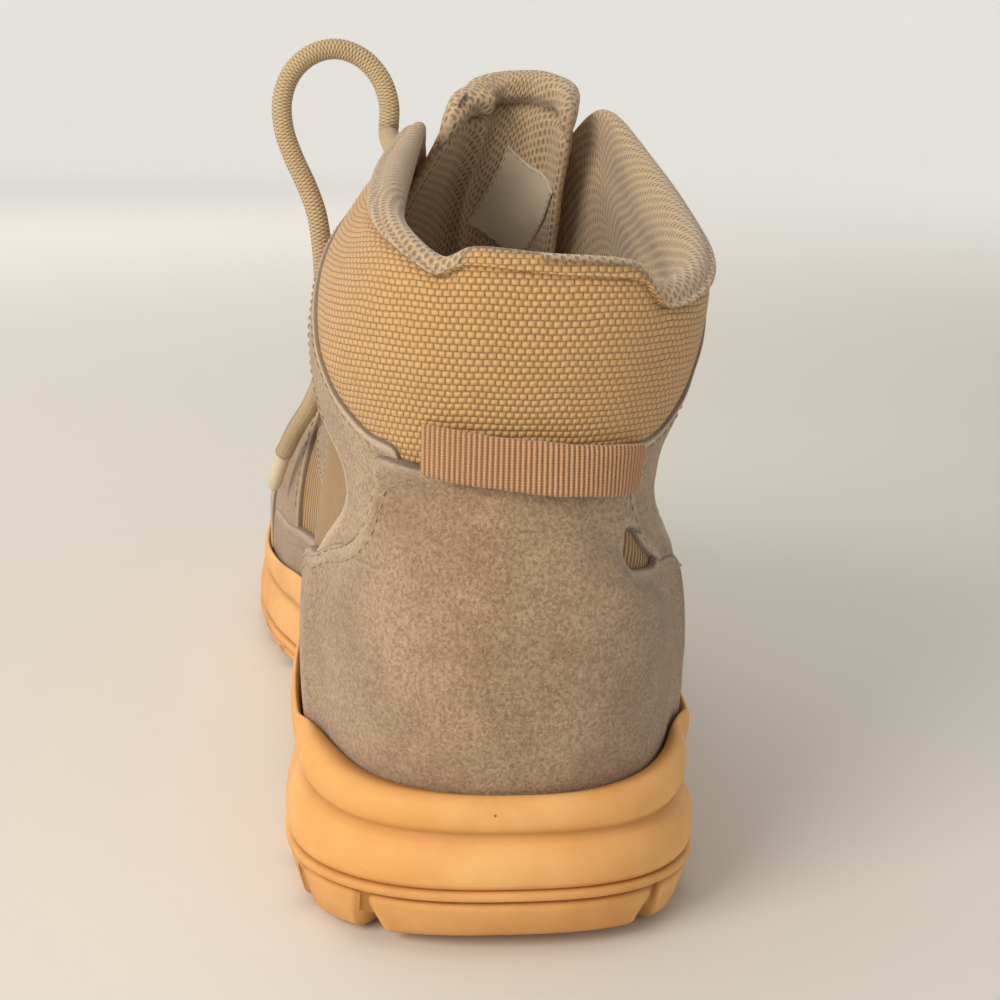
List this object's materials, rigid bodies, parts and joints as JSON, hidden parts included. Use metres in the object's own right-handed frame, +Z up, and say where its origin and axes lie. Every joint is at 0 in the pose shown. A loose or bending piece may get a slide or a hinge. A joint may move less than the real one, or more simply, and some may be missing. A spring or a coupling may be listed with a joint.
{
  "type": "combat boot",
  "caption": "Mid-height tan suede and woven nylon combat boot for the right foot, with padded collar, laced throat and lugged rubber sole.",
  "frame": {"origin": "centre of the heel's flat spot, on the ground", "axes": "+Y to the toe, +X to the outer (lateral) side, +Z up"},
  "size_m": [0.1036, 0.302, 0.1704],
  "materials": {
    "outsole_rubber": "matt moulded rubber",
    "midsole_foam": "matt moulded foam with fine scuffs",
    "lining_mesh": "knitted spacer mesh",
    "woven_nylon": "coarse basket weave",
    "suede": "napped suede",
    "webbing": "ribbed grosgrain",
    "eyelet_finish": "matt tan paint",
    "lace_cord": "round braid",
    "lace_tag": "pale plastic"
  },
  "bodies": {
    "root": {"eyelet_lateral_1": "eyelet_finish", "eyelet_lateral_2": "eyelet_finish", "eyelet_lateral_3": "eyelet_finish", "eyelet_lateral_4": "eyelet_finish", "eyelet_lateral_5": "eyelet_finish", "eyelet_lateral_6": "eyelet_finish", "eyelet_lateral_7": "eyelet_finish", "eyelet_medial_1": "eyelet_finish", "eyelet_medial_2": "eyelet_finish", "eyelet_medial_3": "eyelet_finish", "eyelet_medial_4": "eyelet_finish", "eyelet_medial_5": "eyelet_finish", "eyelet_medial_6": "eyelet_finish", "eyelet_medial_7": "eyelet_finish", "heel_counter": "suede", "insole": "lining_mesh", "lace_crossings": "lace_cord", "lace_end": "lace_cord", "lace_tip": "lace_tag", "midsole": "midsole_foam", "outsole": "outsole_rubber", "pull_band": "webbing", "tongue": "lining_mesh", "upper": "woven_nylon"}
  },
  "joints": []
}
